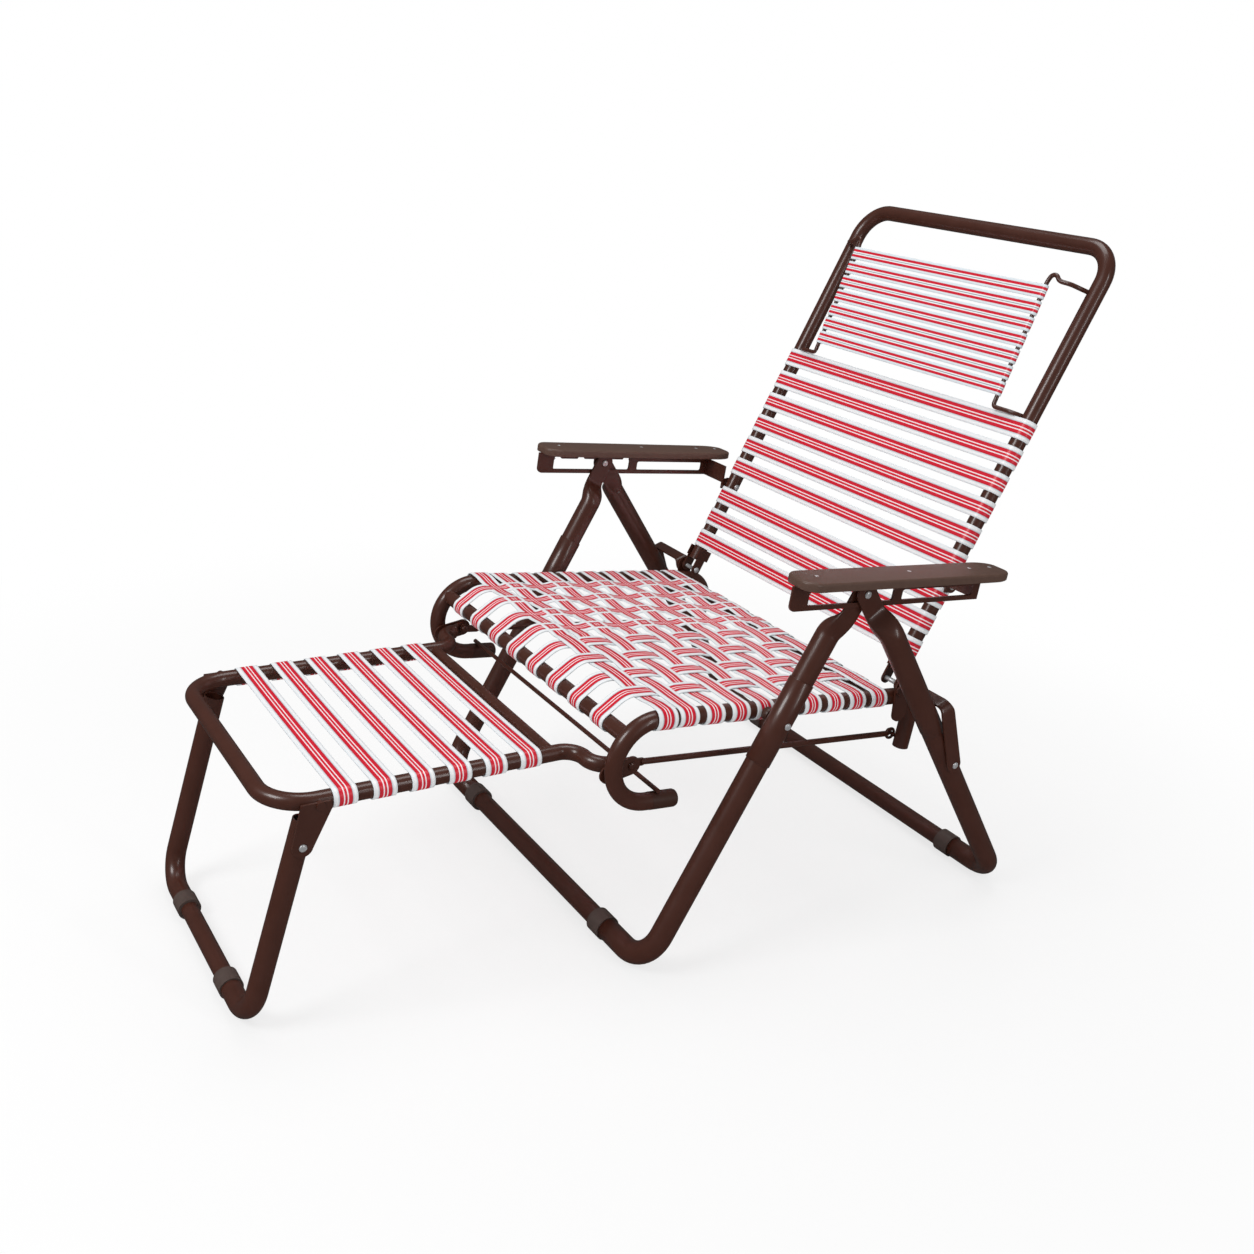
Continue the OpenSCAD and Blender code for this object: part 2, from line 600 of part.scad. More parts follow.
// plate on the footrest rail that carries the footrest leg
module prop_hinge(s) color("#3a2018") side(s) place(foot_front, foot_dir) difference() {
  j = [(J - foot_front) * foot_dir, (J - foot_front) * [0, -foot_dir[2], foot_dir[1]]];
  translate([hinge_in, 0, 0]) rotate([90, 0, 90]) linear_extrude(plate) {
    translate(j) circle(12);
    polygon([[j[0] - 12, j[1]], [j[0] + 10.5, j[1] - 5.5], [j[0] + 33, -4], [j[0] + 31, 4],
      [j[0] - 2, 4]]);
  }
  translate([hinge_in - 1, j[0], j[1]]) rotate([0, 90, 0]) cylinder(h = plate + 2, r = bolt_d / 2 + run);
}
module hinge_rivet() pin(foot_front + foot_dir * 50, foot_x + rf, hinge_in + plate + 2, 5);
module prop_hinge_left() union() { prop_hinge(1); hinge_rivet(); }
module prop_hinge_right() union() { prop_hinge(-1); mirror([1, 0, 0]) hinge_rivet(); }
module prop_leg() color("#3a2018") place(prop_foot, J - prop_foot) difference() {
  for (s = [-1, 1]) side(s) {
    run_x(prop_x - 78, prop_x - 40, 0, rp, rp - wall);
    elbow(prop_x - 40, 40, 40, 3, rp, rp - wall);
    run_y(40, prop_len + 27, prop_x, rp, rp - wall);
  }
  for (s = [-1, 1]) pin_y(prop_len, s * prop_x - 16, s * prop_x + 16, bolt_d / 2);
}
module prop_floor_bar() floor_bar(prop_foot, prop_x - 55, rp - wall - 0.3, rp - 2 * wall - 0.3);
module prop_glides() glide(prop_foot, prop_x - 78, rp, rp - wall - 0.3);
module prop_bolts() color("#b9b9bb") for (s = [-1, 1]) side(s) {
  pin(J, prop_x - rp, hinge_in + plate + gap, bolt_d / 2);
  dome(J, hinge_in + plate + gap, 4, 7);
  dome(J, prop_x - rp, 4, 7, -1);
}

translate([0, -mid_y, 0]) {
  seat_rail_left();
  seat_rail_right();
  front_cross_rail();
  rear_cross_rail();
  curl_cap_left();
  curl_cap_right();
  cross_wire();
  tie_rod_left();
  tie_rod_right();
  rod_hook_left();
  rod_hook_right();
  footrest_lug_left();
  footrest_lug_right();
  back_ear_left();
  back_ear_right();
  seat_straps_long();
  seat_straps_cross();
  front_leg_left();
  front_leg_right();
  front_floor_bar();
  front_glides();
  top_pin_left();
  top_pin_right();
  leg_bolt_left();
  leg_bolt_right();
  rear_leg_left();
  rear_leg_right();
  rear_floor_bar();
  rear_glides();
  link_left();
  link_right();
  link_bolt_left();
  link_bolt_right();
  back_bolt_left();
  back_bolt_right();
  back_frame();
  saddle_left();
  saddle_right();
  back_straps();
  headrest_wire_left();
  headrest_wire_right();
  headrest_straps();
  arm_stud_left();
  arm_stud_right();
  arm_bolt_left();
  arm_bolt_right();
  notch_rack_left();
  notch_rack_right();
  armrest_pad_left();
  armrest_pad_right();
  footrest_frame();
  footrest_cross_bar();
  footrest_straps();
  footrest_rivets();
  prop_hinge_left();
  prop_hinge_right();
  prop_leg();
  prop_floor_bar();
  prop_glides();
  prop_bolts();
}
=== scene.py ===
import math

import bpy
import numpy as np
from mathutils import Matrix, Vector


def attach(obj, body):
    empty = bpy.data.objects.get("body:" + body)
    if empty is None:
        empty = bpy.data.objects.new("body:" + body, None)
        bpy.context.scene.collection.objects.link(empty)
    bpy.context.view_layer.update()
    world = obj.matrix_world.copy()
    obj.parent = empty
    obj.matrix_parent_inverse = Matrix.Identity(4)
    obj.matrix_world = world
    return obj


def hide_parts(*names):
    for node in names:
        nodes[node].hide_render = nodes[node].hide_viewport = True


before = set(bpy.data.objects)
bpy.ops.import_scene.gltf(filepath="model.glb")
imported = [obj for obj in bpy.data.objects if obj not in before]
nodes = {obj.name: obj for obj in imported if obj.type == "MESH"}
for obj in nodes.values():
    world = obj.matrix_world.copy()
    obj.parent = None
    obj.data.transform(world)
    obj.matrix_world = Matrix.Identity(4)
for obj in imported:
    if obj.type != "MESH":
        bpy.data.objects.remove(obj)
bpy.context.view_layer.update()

# Painted steel: every tube, rail, rod, wire and plate of the chair is mild steel with a brown powder coat,
# baked on before the chair is riveted together. It is satin, with a soft orange peel.


def srgb(code):
    """A colour written as sRGB hex, turned to linear red, green, blue and alpha."""
    c = np.array([int(code[i:i + 2], 16) for i in (1, 3, 5)]) / 255
    return (*np.where(c <= 0.04045, c / 12.92, ((c + 0.055) / 1.055) ** 2.4), 1.0)


def add(tree, kind, sets=None, inputs=None):
    """Adds one node. sets are its own settings; inputs are its sockets, each given a value or a socket."""
    made = tree.nodes.new("ShaderNode" + kind)
    for name, value in (sets or {}).items():
        setattr(made, name, value)
    for key, value in (inputs or {}).items():
        if isinstance(value, bpy.types.NodeSocket):
            tree.links.new(value, made.inputs[key])
        else:
            made.inputs[key].default_value = value
    return made


def finish(name):
    """A new material with an empty tree, its output and its shader."""
    made = bpy.data.materials.new(name)
    made.use_nodes = True
    tree = made.node_tree
    tree.nodes.clear()
    shader = add(tree, "BsdfPrincipled")
    add(tree, "OutputMaterial", inputs={"Surface": shader.outputs[0]})
    return made, tree, shader


def coat_with(material, names):
    """Gives the named pieces of the frame this finish."""
    for name in names:
        nodes[name].data.materials.clear()
        nodes[name].data.materials.append(material)


def powder_coat(name, light, dark, roughness):
    """Powder coat: two close browns in 25 mm clouds, gloss that varies a little, orange peel of 3 mm."""
    made, tree, shader = finish(name)
    place = add(tree, "TexCoord").outputs["Object"]
    clouds = add(tree, "TexNoise", inputs={"Vector": place, "Scale": 1 / 0.025, "Detail": 3.0})
    tone = add(tree, "MixRGB", inputs={"Fac": clouds.outputs[0], "Color1": srgb(dark), "Color2": srgb(light)})
    gloss = add(tree, "MapRange", inputs={"Value": clouds.outputs[0], "From Min": 0.3, "From Max": 0.7,
                                          "To Min": roughness - 0.03, "To Max": roughness + 0.04})
    peel = add(tree, "TexNoise", inputs={"Vector": place, "Scale": 1 / 0.003, "Detail": 1.0})
    bump = add(tree, "Bump", inputs={"Strength": 0.02, "Distance": 0.0002, "Height": peel.outputs[0]})
    for socket, value in (("Base Color", tone.outputs[0]), ("Roughness", gloss.outputs[0]),
                          ("Normal", bump.outputs[0])):
        tree.links.new(value, shader.inputs[socket])
    shader.inputs["IOR"].default_value = 1.5
    shader.inputs["Coat Weight"].default_value = 0.4
    shader.inputs["Coat Roughness"].default_value = 0.14
    return made


brown = powder_coat("brown_powder_coated_steel", "#4f281c", "#422116", 0.34)
coat_with(brown, [n for n in nodes if not any(
    w in n for w in ("straps", "bolt", "pin", "stud", "glides", "cap", "pad"))])

# Plated bolts and pins: turned and headed steel with a thin zinc plating. It gives a soft grey shine with
# faint cloudy patches from the plating bath.

zinc, tree, shader = finish("zinc_plated_steel")
place = add(tree, "TexCoord").outputs["Object"]
patch = add(tree, "TexNoise", inputs={"Vector": place, "Scale": 1 / 0.004, "Detail": 2.0})
shade = add(tree, "MixRGB", inputs={"Fac": patch.outputs[0], "Color1": srgb("#c8cace"),
                                    "Color2": srgb("#eaeaea")})
dull = add(tree, "MapRange", inputs={"Value": patch.outputs[0], "To Min": 0.24, "To Max": 0.42})
tree.links.new(shade.outputs[0], shader.inputs["Base Color"])
tree.links.new(dull.outputs[0], shader.inputs["Roughness"])
shader.inputs["Metallic"].default_value = 0.6
coat_with(zinc, [n for n in nodes if any(w in n for w in ("bolt", "pin", "stud"))])

# Plastic collars and curl caps: injection-moulded polyethylene, pushed over the tube joints that stand on
# the floor and over the ends of the front curls. It is duller and greyer than the paint, finely grained.


def moulded(name, light, dark, roughness, grain):
    """Moulded plastic: a faint 8 mm mottle and a bump of the mould's grain, grain metres across."""
    made, tree, shader = finish(name)
    place = add(tree, "TexCoord").outputs["Object"]
    mottle = add(tree, "TexNoise", inputs={"Vector": place, "Scale": 1 / 0.008, "Detail": 4.0})
    tone = add(tree, "MixRGB", inputs={"Fac": mottle.outputs[0], "Color1": srgb(dark), "Color2": srgb(light)})
    pits = add(tree, "TexNoise", inputs={"Vector": place, "Scale": 1 / grain, "Detail": 2.0})
    bump = add(tree, "Bump", inputs={"Strength": 0.25, "Distance": 0.0002, "Height": pits.outputs[0]})
    tree.links.new(tone.outputs[0], shader.inputs["Base Color"])
    tree.links.new(bump.outputs[0], shader.inputs["Normal"])
    shader.inputs["Roughness"].default_value = roughness
    shader.inputs["IOR"].default_value = 1.51
    return made


collar_plastic = moulded("grey_brown_polyethylene", "#5a4a44", "#4a3c37", 0.5, 0.0008)
coat_with(collar_plastic, [n for n in nodes if "glides" in n])
cap_plastic = moulded("brown_polyethylene", "#46291f", "#3d231a", 0.38, 0.0008)
coat_with(cap_plastic, [n for n in nodes if "cap" in n])

# Seat webbing across: ten straps of ribbed vinyl webbing, white with a red band, each wrapped over both
# seat rails to end underneath. They pass over and under the lengthwise straps by turns. Their colour also
# holds painted shade: grey-blue in the groove beside the red band and at the rounded outer edges.

STRAP_W = 28.0
STRAP_T = 1.8
STRIPES = (1.4, 2.95, 7.6)
RIB = 0.12
SLACK = 0.1


def strap_side(width, thick, stripes):
    """Closed cross-section of a strap: u across it and h through it, in mm. Each stripe is a low rib, a sine
    hump over its width, so h is half the thickness less a shallow groove between ribs, on both faces."""
    half = width / 2
    edges = np.array([*[-s for s in stripes[::-1]], *stripes])
    edges = np.array([-half + 0.4, *edges, half - 0.4])
    u = np.unique(np.concatenate([np.linspace(a, b, 4) for a, b in zip(edges[:-1], edges[1:])]))
    i = np.clip(np.searchsorted(edges, u, side="right") - 1, 0, len(edges) - 2)
    t = (u - edges[i]) / (edges[i + 1] - edges[i])
    h = thick / 2 - RIB + RIB * np.abs(np.sin(np.pi * t))
    side = np.array([-half, -half + 0.12])
    side_h = np.array([0.0, thick / 2 - 0.4])
    top_u = np.concatenate([side, u, -side[::-1]])
    top_h = np.concatenate([side_h, h, side_h[::-1]])
    return np.concatenate([top_u, top_u[-2:0:-1]]), np.concatenate([top_h, -top_h[-2:0:-1]])


def wrap(half, radius, middle, end=258.0):
    """Side view of one strap, as points x across the chair and v off the bar centres, in mm: from its end,
    which lies under the bar at end degrees, round the bar's outside to its top, across by middle(x), and the
    same again on the other side, which is the first half mirrored."""
    a = np.radians(np.linspace(end, 450, 20))
    turn = np.stack([half + radius * np.cos(a), radius * np.sin(a)], 1)
    x = np.linspace(half - 1.5, 0, int(half / 4.2))
    first = np.concatenate([turn, np.stack([x, middle(x)], 1)])
    return np.concatenate([first, (first * [-1, 1])[-2::-1]])


def strap_skin(path, across, through, width=STRAP_W, thick=STRAP_T, stripes=STRIPES):
    """Rings of a strap: its cross-section carried along path (points in mm). across is the strap's own
    direction, and the section's thickness points along through, the path's normal at each point."""
    u, h = strap_side(width, thick, stripes)
    rings = path[:, None, :] + u[None, :, None] * across + h[None, :, None] * through[:, None, :]
    along = np.concatenate([[0], np.cumsum(np.linalg.norm(np.diff(path, axis=0), axis=1))])
    return rings, np.broadcast_to(u, rings.shape[:2]), np.broadcast_to(along[:, None], rings.shape[:2])


def solid(name, shells, material, body):
    """One piece from closed shells. A shell is rings of points, a by b, in mm, each ring joined to the next
    by quads and closed on itself, with a flat cap on both ends; faces are turned so that the volume that
    they enclose is positive. A strap's shell also holds mm across and mm along it, which become its UV."""
    points, faces, maps, count = [], [], [], 0
    for shell in shells:
        rings = shell[0] if isinstance(shell, tuple) else shell
        a, b = rings.shape[:2]
        i, j = np.arange(a - 1)[:, None] * b, np.arange(b)[None, :]
        k = (j + 1) % b
        quads = np.stack([i + j, i + k, i + b + k, i + b + j], -1).reshape(-1, 4)
        flat = rings.reshape(-1, 3)
        middle = flat.mean(0)
        p, q, r, s = (flat[quads[:, n]] - middle for n in range(4))
        volume = (p * np.cross(q, r)).sum() + (p * np.cross(r, s)).sum()
        caps = [np.arange(b)[::-1], (a - 1) * b + np.arange(b)]
        if volume < 0:
            quads, caps = quads[:, ::-1], [c[::-1] for c in caps]
        points.append(flat)
        faces += (quads + count).tolist() + [(c + count).tolist() for c in caps]
        count += a * b
        if isinstance(shell, tuple):
            maps.append(np.stack([shell[1].reshape(-1), shell[2].reshape(-1)], 1))
    mesh = bpy.data.meshes.new(name)
    mesh.from_pydata((np.concatenate(points) / 1000).tolist(), [], faces)
    smooth = np.zeros(len(mesh.polygons), int)
    mesh.polygons.foreach_get("loop_total", smooth)
    mesh.polygons.foreach_set("use_smooth", smooth == 4)
    if maps:
        corner = np.zeros(len(mesh.loops), int)
        mesh.loops.foreach_get("vertex_index", corner)
        layer = mesh.uv_layers.new(name="strap_mm")
        layer.data.foreach_set("uv", np.concatenate(maps)[corner].ravel())
    mesh.update()
    made = bpy.data.objects.new(name, mesh)
    bpy.context.scene.collection.objects.link(made)
    made.data.materials.append(material)
    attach(made, body)
    return made


def vinyl_webbing(name, stops):
    """Vinyl webbing: stripes by the distance from the strap's middle line in mm, a slight unevenness of the
    colour and soft waves of 7 mm in its surface. stops are (mm, colour) pairs."""
    made, tree, shader = finish(name)
    where = add(tree, "UVMap", {"uv_map": "strap_mm"}).outputs[0]
    parts = add(tree, "SeparateXYZ", inputs={0: where})
    off = add(tree, "Math", {"operation": "ABSOLUTE"}, {0: parts.outputs[0]})
    share = add(tree, "Math", {"operation": "DIVIDE"}, {0: off.outputs[0], 1: STRAP_W / 2})
    ramp = add(tree, "ValToRGB", inputs={0: share.outputs[0]})
    band = ramp.color_ramp
    while len(band.elements) < len(stops):
        band.elements.new(0.5)
    for element, (at, colour) in zip(band.elements, stops):
        element.position = at / (STRAP_W / 2)
        element.color = srgb(colour)
    wear = add(tree, "TexNoise", inputs={"Vector": where, "Scale": 0.12, "Detail": 3.0})
    tone = add(tree, "HueSaturation", inputs={"Color": ramp.outputs[0], "Value": add(
        tree, "MapRange", inputs={"Value": wear.outputs[0], "To Min": 0.94, "To Max": 1.04}).outputs[0]})
    waves = add(tree, "TexNoise", inputs={"Vector": where, "Scale": 1 / 7, "Detail": 1.0})
    bump = add(tree, "Bump", inputs={"Strength": 0.1, "Distance": 0.0003, "Height": waves.outputs[0]})
    for socket, value in (("Base Color", tone.outputs[0]), ("Normal", bump.outputs[0])):
        tree.links.new(value, shader.inputs[socket])
    shader.inputs["Roughness"].default_value = 0.36
    shader.inputs["IOR"].default_value = 1.53
    return made


# The grey-blue stops at 7.7 and 8.8 mm, beside the red band, and the greyer stop at the outer edge (14 mm)
# are painted shade of the raised margin rib and its groove. The webbing itself is white there.
webbing_with_painted_shade = vinyl_webbing("striped_vinyl_webbing_with_painted_shade", [
    (0, "#d80a2a"), (1.3, "#d80a2a"), (1.5, "#f8ecf0"), (2.75, "#f8ecf0"), (3.0, "#dc0a2c"),
    (7.4, "#cb0a28"), (7.7, "#b2c1ca"), (8.8, "#dfe5e9"), (10.4, "#f7f7f8"), (14, "#e2e8ec")])

SEAT_X = 243.0
RAIL_R = 11.0
SLOPE = math.radians(5.76)
CURL = np.array([0, -98.048, 287.476])
RAIL_V = 55.0
ALONG = np.array([0, math.cos(SLOPE), -math.sin(SLOPE)])
UP = np.array([0, math.sin(SLOPE), math.cos(SLOPE)])
ACROSS = np.array([1.0, 0, 0])
CROSS_U = np.array([3.0] + [-4 + 39.4 * k for k in range(1, 10)])
LONG_X = np.array([189.0 - 54 * m for m in range(8)])
WEAVE_V = 65.95
WEAVE_H = 1.0
BOW = 0.35
FLAT_RUN = 14.5


def weave(s, centres, sides, ends):
    """Height of a woven strap at s: level over or under each crossing strap, FLAT_RUN either way of its
    middle, and an even S-curve (3t^2 - 2t^3) to the next. ends are (place, height) pairs."""
    order = np.argsort(centres)
    at = np.concatenate([[ends[0][0]], (centres[order, None] + [-FLAT_RUN, FLAT_RUN]).ravel(), [ends[1][0]]])
    height = np.concatenate([[ends[0][1]], np.repeat(sides[order], 2) * WEAVE_H, [ends[1][1]]])
    i = np.clip(np.searchsorted(at, s) - 1, 0, len(at) - 2)
    t = np.clip((s - at[i]) / (at[i + 1] - at[i]), 0, 1)
    t = t * t * (3 - 2 * t)
    bow = BOW * np.clip(1 - (np.abs(s[:, None] - centres).min(1) / 16) ** 2, 0, 1)
    side = sides[np.abs(s[:, None] - centres).argmin(1)]
    return height[i] * (1 - t) + height[i + 1] * t + bow * side


def normals(side, turn):
    """Unit normals of a side-view line, its tangent turned a quarter; turn is 1 or -1."""
    d = np.gradient(side, axis=0)
    d /= np.linalg.norm(d, axis=1)[:, None]
    return turn * np.stack([-d[:, 1], d[:, 0]], 1)


shells = []
top = RAIL_R + SLACK + STRAP_T / 2
FIRST_LIFT = 1.1
for k, u in enumerate(CROSS_U):
    radius = top + (FIRST_LIFT if k == 0 else 0)
    sides = np.where((np.arange(8) + k) % 2 == 1, 1.0, -1.0)
    level = RAIL_V + radius - WEAVE_V
    line = wrap(SEAT_X, radius, lambda x: WEAVE_V - RAIL_V + weave(
        x, LONG_X, sides, ((-SEAT_X + 10, level), (SEAT_X - 10, level))))
    n = normals(line, -1)
    path = CURL + ALONG * u + ACROSS * line[:, :1] + UP * (line[:, 1:] + RAIL_V)
    shells.append(strap_skin(path, ALONG, ACROSS * n[:, :1] + UP * n[:, 1:]))
seat_cross = solid("seat_webbing_across", shells, webbing_with_painted_shade, "seat")
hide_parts("seat_straps_cross")

# Seat webbing lengthwise: eight straps of the same webbing, hooked round the front cross rail below the
# curls, up over the seat's front edge, woven through the cross straps and round the rear cross rail.

FRONT_BAR = np.array([-42.92, 34.39])
REAR_BAR = np.array([371.5, 52.4])
BAR_R = 10.0 + SLACK + STRAP_T / 2
LEAVE = 130


def arc(centre, radius, start, stop, n):
    """Points on a circle about centre from start to stop degrees."""
    a = np.radians(np.linspace(start, stop, n))
    return centre + radius * np.stack([np.cos(a), np.sin(a)], 1)


def rounded(a, corner, b, n=9):
    """A rounded turn from a to b round a corner: a parabola, (1-t)^2 a + 2t(1-t) corner + t^2 b."""
    t = np.linspace(0, 1, n)[:, None]
    return (1 - t) ** 2 * a + 2 * t * (1 - t) * corner + t ** 2 * b


shells = []
for m, x in enumerate(LONG_X):
    sides = np.where((np.arange(10) + m) % 2 == 1, -1.0, 1.0)
    rear_level = REAR_BAR[1] + BAR_R - WEAVE_V
    s = np.arange(CROSS_U[0] - FLAT_RUN, REAR_BAR[0] - 1, 3.4)
    woven = np.stack([s, WEAVE_V + weave(s, CROSS_U, sides, ((CROSS_U[0] - 15, sides[0]), (
        REAR_BAR[0], rear_level)))], 1)
    leave = arc(FRONT_BAR, BAR_R, LEAVE, LEAVE, 1)[0]
    climb = (woven[0, 1] - leave[1]) / math.tan(math.radians(LEAVE - 90))
    corner = np.array([leave[0] + climb, woven[0, 1]])
    front = arc(FRONT_BAR, BAR_R, 330, LEAVE, 26)
    ramp = np.linspace(leave, corner, 9)[1:6]
    turn = rounded(ramp[-1], corner, woven[0])[1:-1]
    rear = arc(REAR_BAR, BAR_R, 90, -98, 26)
    line = np.concatenate([front, ramp, turn, woven, rear])
    n = normals(line, 1)
    path = CURL + ACROSS * x + ALONG * line[:, :1] + UP * line[:, 1:]
    shells.append(strap_skin(path, ACROSS, ALONG * n[:, :1] + UP * n[:, 1:]))
seat_long = solid("seat_webbing_lengthwise", shells, webbing_with_painted_shade, "seat")
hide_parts("seat_straps_long")

# Back webbing: nine straps stretched across between the back tubes, each wrapped round both, three below
# the armrest pivots and six above them. Pulled tight, each dips a few millimetres at its middle.

BACK_X = 236.0
LEAN = math.radians(25.8)
PIVOT = np.array([0, 294.0, 323.0])
BACK_UP = np.array([0, math.sin(LEAN), math.cos(LEAN)])
BACK_FACE = np.array([0, -math.cos(LEAN), math.sin(LEAN)])
BACK_AT = [51.2 + 38.4 * k for k in range(3)] + [180 + 38.4 * k for k in range(6)]


def straps_on(name, at, half, bar, origin, along, face, dip, body, node, width=STRAP_W,
              kind=webbing_with_painted_shade, stripes=STRIPES):
    """Straps between two bars: one wrapped line for each place at, dipping by dip (1 - (x/half)^2)."""
    radius = bar + SLACK + STRAP_T / 2
    line = wrap(half, radius, lambda x: radius - dip * (1 - (x / half) ** 2))
    n = normals(line, -1)
    paths = [origin + along * t + ACROSS * line[:, :1] + face * line[:, 1:] for t in at]
    through = ACROSS * n[:, :1] + face * n[:, 1:]
    shells = [strap_skin(p, along, through, width, STRAP_T, stripes) for p in paths]
    made = solid(name, shells, kind, body)
    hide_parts(node)


straps_on("back_webbing", BACK_AT, BACK_X, RAIL_R, PIVOT, BACK_UP, BACK_FACE, 2.5, "back", "back_straps")

# Headrest webbing: seven narrow vinyl straps between the two bowed wires, white with two red lines and a
# thin grey one between them, wrapped over the wires as the wide ones are over the tubes.

headrest_webbing = vinyl_webbing("narrow_vinyl_webbing", [
    (0, "#8f9299"), (0.35, "#9a9ca2"), (0.7, "#eef3f6"), (2.1, "#f1f4f6"), (2.4, "#de0e30"), (5.7, "#d00c2a"),
    (6.0, "#d5e1e8"), (7.5, "#e4edf2"), (9.5, "#dbe6ec"), (14, "#dbe6ec")])
TILT = LEAN - math.radians(5.97)
HEAD_UP = np.array([0, math.sin(TILT), math.cos(TILT)])
HEAD_FACE = np.array([0, -math.cos(TILT), math.sin(TILT)])
HEAD_AT = PIVOT + BACK_UP * 394 + BACK_FACE * 18
HEAD_X = 183.0
HEAD_W = 19.0
WIRE_R = 3.0
HEAD_STRIPES = (0.5, 2.8, 5.3)
straps_on("headrest_webbing", [19 + 22.5 * k for k in range(7)], HEAD_X, WIRE_R + 0.1, HEAD_AT, HEAD_UP,
          HEAD_FACE, 1.5, "back", "headrest_straps", HEAD_W,
          headrest_webbing, HEAD_STRIPES)

# Headrest wires: one 6 mm spring wire on each side, painted with the frame. It stands on the back tube at its
# lower end, carries the straps, makes a small hump beside the top strap and runs down to the tube again.


def bent(points, cut):
    """A line through points with each inner corner rounded, by the parabola of rounded() from cut mm before
    the corner to cut mm after it."""
    points = np.array(points, float)
    made = [points[:1]]
    for before, at, after in zip(points[:-2], points[1:-1], points[2:]):
        a = at + (before - at) * min(cut / np.linalg.norm(before - at), 0.49)
        b = at + (after - at) * min(cut / np.linalg.norm(after - at), 0.49)
        made.append(rounded(a, at, b, 8))
    return np.concatenate([*made, points[-1:]])


def bar(line, radius, guide, sides=24):
    """A round bar along line: at each point a circle square to the line's tangent, its first direction
    tangent x guide and its second square to both."""
    d = np.gradient(line, axis=0)
    d /= np.linalg.norm(d, axis=1)[:, None]
    e = np.cross(d, guide)
    e /= np.linalg.norm(e, axis=1)[:, None]
    f = np.cross(d, e)
    a = np.linspace(0, 2 * np.pi, sides, endpoint=False)[:, None]
    return line[:, None] + radius * (np.cos(a) * e[:, None] + np.sin(a) * f[:, None])


for side, s in (("left", 1), ("right", -1)):
    flat = bent([(231, -6, -13), (214, -6, -2), (184, -6, 0), (183, 60, 0), (183, 120, 0), (183, 168, 0),
                 (186, 178, 0), (194, 179, 0), (200, 172, -1), (216, 172, -6), (232, 171, -29)], 6.0)
    line = HEAD_AT + ACROSS * flat[:, :1] * s + HEAD_UP * flat[:, 1:2] + HEAD_FACE * flat[:, 2:]
    shell = bar(line, WIRE_R, np.array([0.31, 0.22, 0.92]))
    wire = solid("headrest_spring_wire_" + side, [shell], brown, "back")
    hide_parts("headrest_wire_" + side)

# Footrest webbing: six straps of the wide vinyl webbing stretched across the footrest tube, wrapped over
# both its sides like the back's.

FOOT_FRONT = np.array([0, -537.0, 285.0])
FOOT_REAR = np.array([0, -119.5, 279.0])
FOOT_ALONG = (FOOT_REAR - FOOT_FRONT) / np.linalg.norm(FOOT_REAR - FOOT_FRONT)
FOOT_UP = np.array([0, -FOOT_ALONG[2], FOOT_ALONG[1]])
FOOT_X = 168.0
FOOT_R = 10.0
straps_on("footrest_webbing", [80 + 46 * k for k in range(6)], FOOT_X, FOOT_R, FOOT_FRONT, FOOT_ALONG,
          FOOT_UP, 1.5, "footrest", "footrest_straps")

# Armrest pads: two moulded polypropylene boards, wider and rounder at the front, screwed from above to the
# flange of the notched bracket. Their top edge is rounded, and the top is a little crowned.

pad_plastic = moulded("brown_polypropylene", "#624a3f", "#563e34", 0.4, 0.0012)
PAD_L, PAD_W, PAD_T = 350.0, 52.0, 12.0
PAD_X, PAD_START, PAD_RISE = 301, -114, 13.5
CORNER = 19
TAIL_X, TAIL_Y = 16, 34
EDGE, CROWN = 3.2, 1.2
TOP_PIN = np.array([0, 148.0, 492.0])
ARM_ALONG = np.array([0, 204.0, -16.0]) / math.hypot(204, 16)
ARM_UP = np.array([0, 16.0, 204.0]) / math.hypot(204, 16)


def pad_line(inset):
    """The pad's outline, inset from its edge: straight sides, round front corners and a blunt rounded rear,
    all as quarter ellipses."""
    def quarter(a0, a1, cx, cy, rx, ry):
        a = np.radians(np.linspace(a0, a1, 12))
        return np.stack([cx + rx * np.cos(a), cy + ry * np.sin(a)], 1)
    w = PAD_W / 2 - inset
    return np.concatenate([
        quarter(0, 90, w - TAIL_X, PAD_L - TAIL_Y, TAIL_X, TAIL_Y - inset),
        quarter(90, 180, -w + TAIL_X, PAD_L - TAIL_Y, TAIL_X, TAIL_Y - inset),
        quarter(180, 270, -PAD_W / 2 + CORNER, CORNER, CORNER - inset, CORNER - inset),
        quarter(270, 360, PAD_W / 2 - CORNER, CORNER, CORNER - inset, CORNER - inset)])


def pad_rings():
    """Rings of the pad from its underside up: a 1 mm lower edge, an upright side, a rounded upper edge of
    EDGE, then the outline shrunk towards the middle with the top rising by CROWN (1 - s^2)."""
    a = np.radians(np.linspace(0, 90, 7))
    rings = [(1.0, 0.0), (0.3, 0.3), (0.0, 1.0), (0.0, 4.0)]
    rings += list(zip(EDGE * (1 - np.cos(a)), PAD_T - EDGE - CROWN + EDGE * np.sin(a)))
    lines = [np.column_stack([pad_line(i), np.full(48, z)]) for i, z in rings]
    middle = np.array([0, PAD_L / 2, 0])
    for s in (0.9, 0.75, 0.5, 0.25, 0.06):
        line = (lines[10] - middle) * [s, 1 - (1 - s) * 0.16, 1] + middle
        line[:, 2] = PAD_T - CROWN + CROWN * (1 - s * s)
        lines.append(line)
    return np.array(lines)


for side, s in (("left", 1), ("right", -1)):
    rings = pad_rings()
    place = TOP_PIN + ACROSS * PAD_X * s + ARM_ALONG * PAD_START + ARM_UP * PAD_RISE
    shell = place + ACROSS * rings[..., :1] + ARM_ALONG * rings[..., 1:2] + ARM_UP * rings[..., 2:]
    pad = solid("armrest_board_" + side, [shell], pad_plastic, "arm_" + side)
    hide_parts("armrest_pad_" + side)

# Pad screws: four small zinc-plated screws with shallow domed heads hold each pad to its bracket from above,
# sunk level with the crowned top. A head is a profile of radius and height, turned round.

